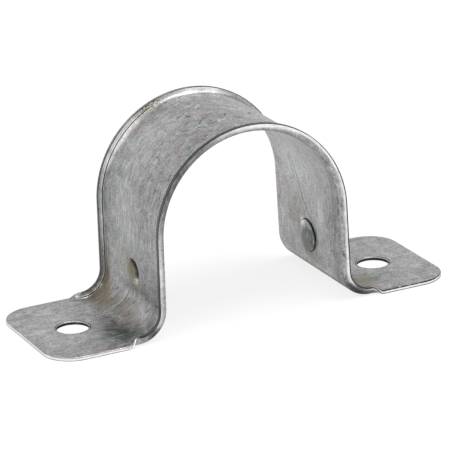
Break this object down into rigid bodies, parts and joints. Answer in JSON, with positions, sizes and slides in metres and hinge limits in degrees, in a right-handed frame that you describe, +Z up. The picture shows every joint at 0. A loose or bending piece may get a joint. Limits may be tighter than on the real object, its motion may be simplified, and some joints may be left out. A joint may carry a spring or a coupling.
{
  "type": "conduit strap",
  "caption": "Saddle strap folded from steel strip: half-round arch with rolled edge lips over a conduit, grip nibs in its legs, and a flat screw-down foot at each end.",
  "frame": {"origin": "on the mounting surface, midway between the two feet and midway across the strip", "axes": "+X along the strap from foot to foot, +Y along the conduit, +Z up from the mounting surface to the crown of the arch"},
  "size_m": [0.1024, 0.0362, 0.0477],
  "materials": {
    "galvanised_steel": "dull zinc coating, drawn along the strip, lightly scratched and stained"
  },
  "bodies": {
    "root": {"strap": "galvanised_steel"}
  },
  "joints": []
}
